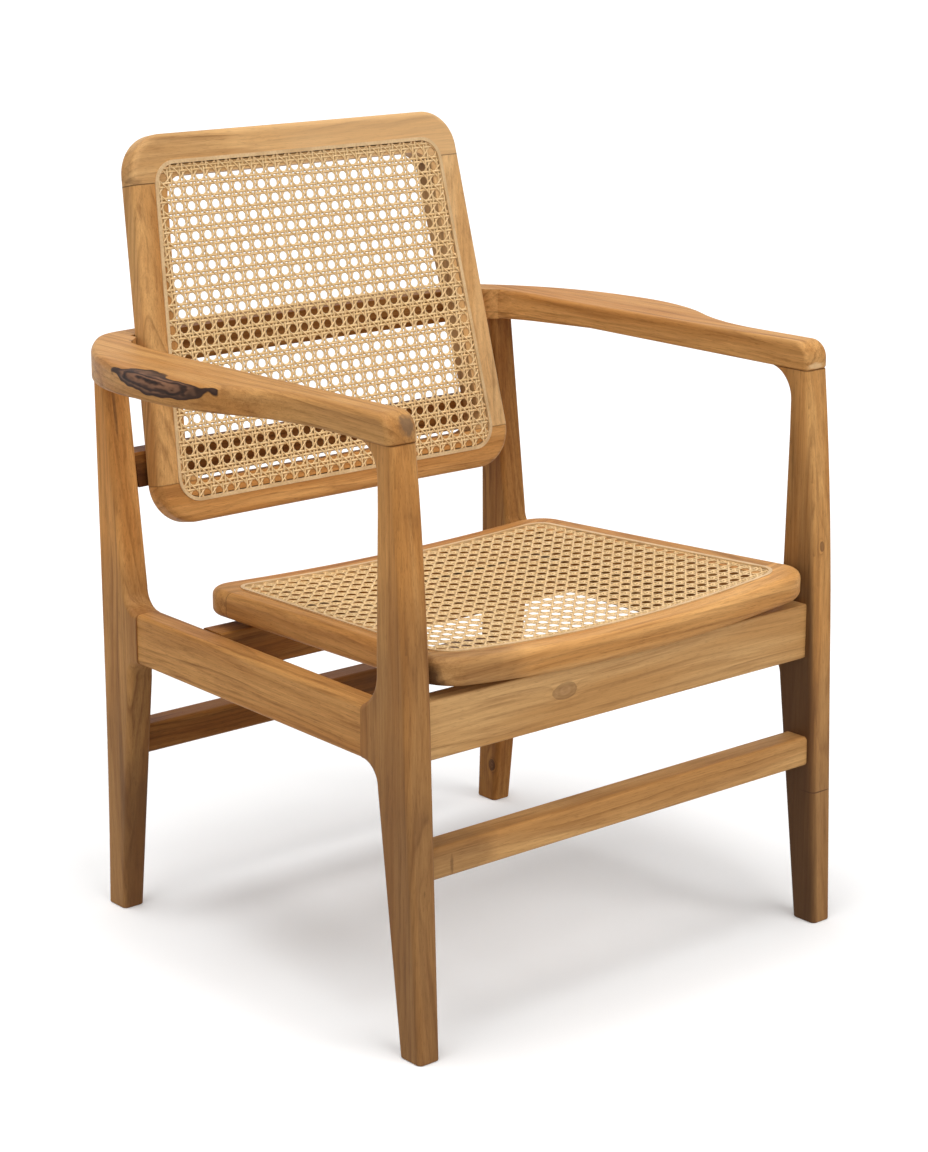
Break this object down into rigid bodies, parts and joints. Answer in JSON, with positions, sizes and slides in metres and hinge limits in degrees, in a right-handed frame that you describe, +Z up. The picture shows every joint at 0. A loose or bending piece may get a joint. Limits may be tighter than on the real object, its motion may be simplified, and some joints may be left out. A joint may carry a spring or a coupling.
{
  "type": "cane armchair",
  "caption": "Low armchair in solid wood with sculpted arms that wrap behind a leaning caned back, and a dished caned seat on an open base of tapered legs.",
  "frame": {"origin": "on the floor, under the middle of the chair's box", "axes": "+Z up, -Y the way a sitter faces, +X to the sitter's left"},
  "size_m": [0.694, 0.587, 0.8297],
  "materials": {
    "teak": "satin oiled",
    "cane": "natural woven",
    "spline": "satin",
    "dowel": "plain",
    "screw": "zinc plated"
  },
  "bodies": {
    "root": {"front_leg_left": "teak", "front_leg_right": "teak", "rear_leg_left": "teak", "rear_leg_right": "teak", "side_rail_left": "teak", "side_rail_right": "teak", "front_seat_rail": "teak", "rear_seat_rail": "teak", "front_stretcher": "teak", "rear_stretcher": "teak", "armrest_left": "teak", "armrest_right": "teak", "crest_rail": "teak", "lower_back_rail": "teak", "back_top_rail": "teak", "back_bottom_rail": "teak", "back_stile_left": "teak", "back_stile_right": "teak", "back_cane": "cane", "back_spline": "spline", "seat_front_rail": "teak", "seat_rear_rail": "teak", "seat_side_rail_left": "teak", "seat_side_rail_right": "teak", "seat_cane": "cane", "seat_spline": "spline", "arm_dowels": "dowel", "crest_dowels": "dowel", "back_frame_dowels": "dowel", "seat_frame_dowels": "dowel", "back_screws": "screw", "seat_screws": "screw"}
  },
  "joints": []
}
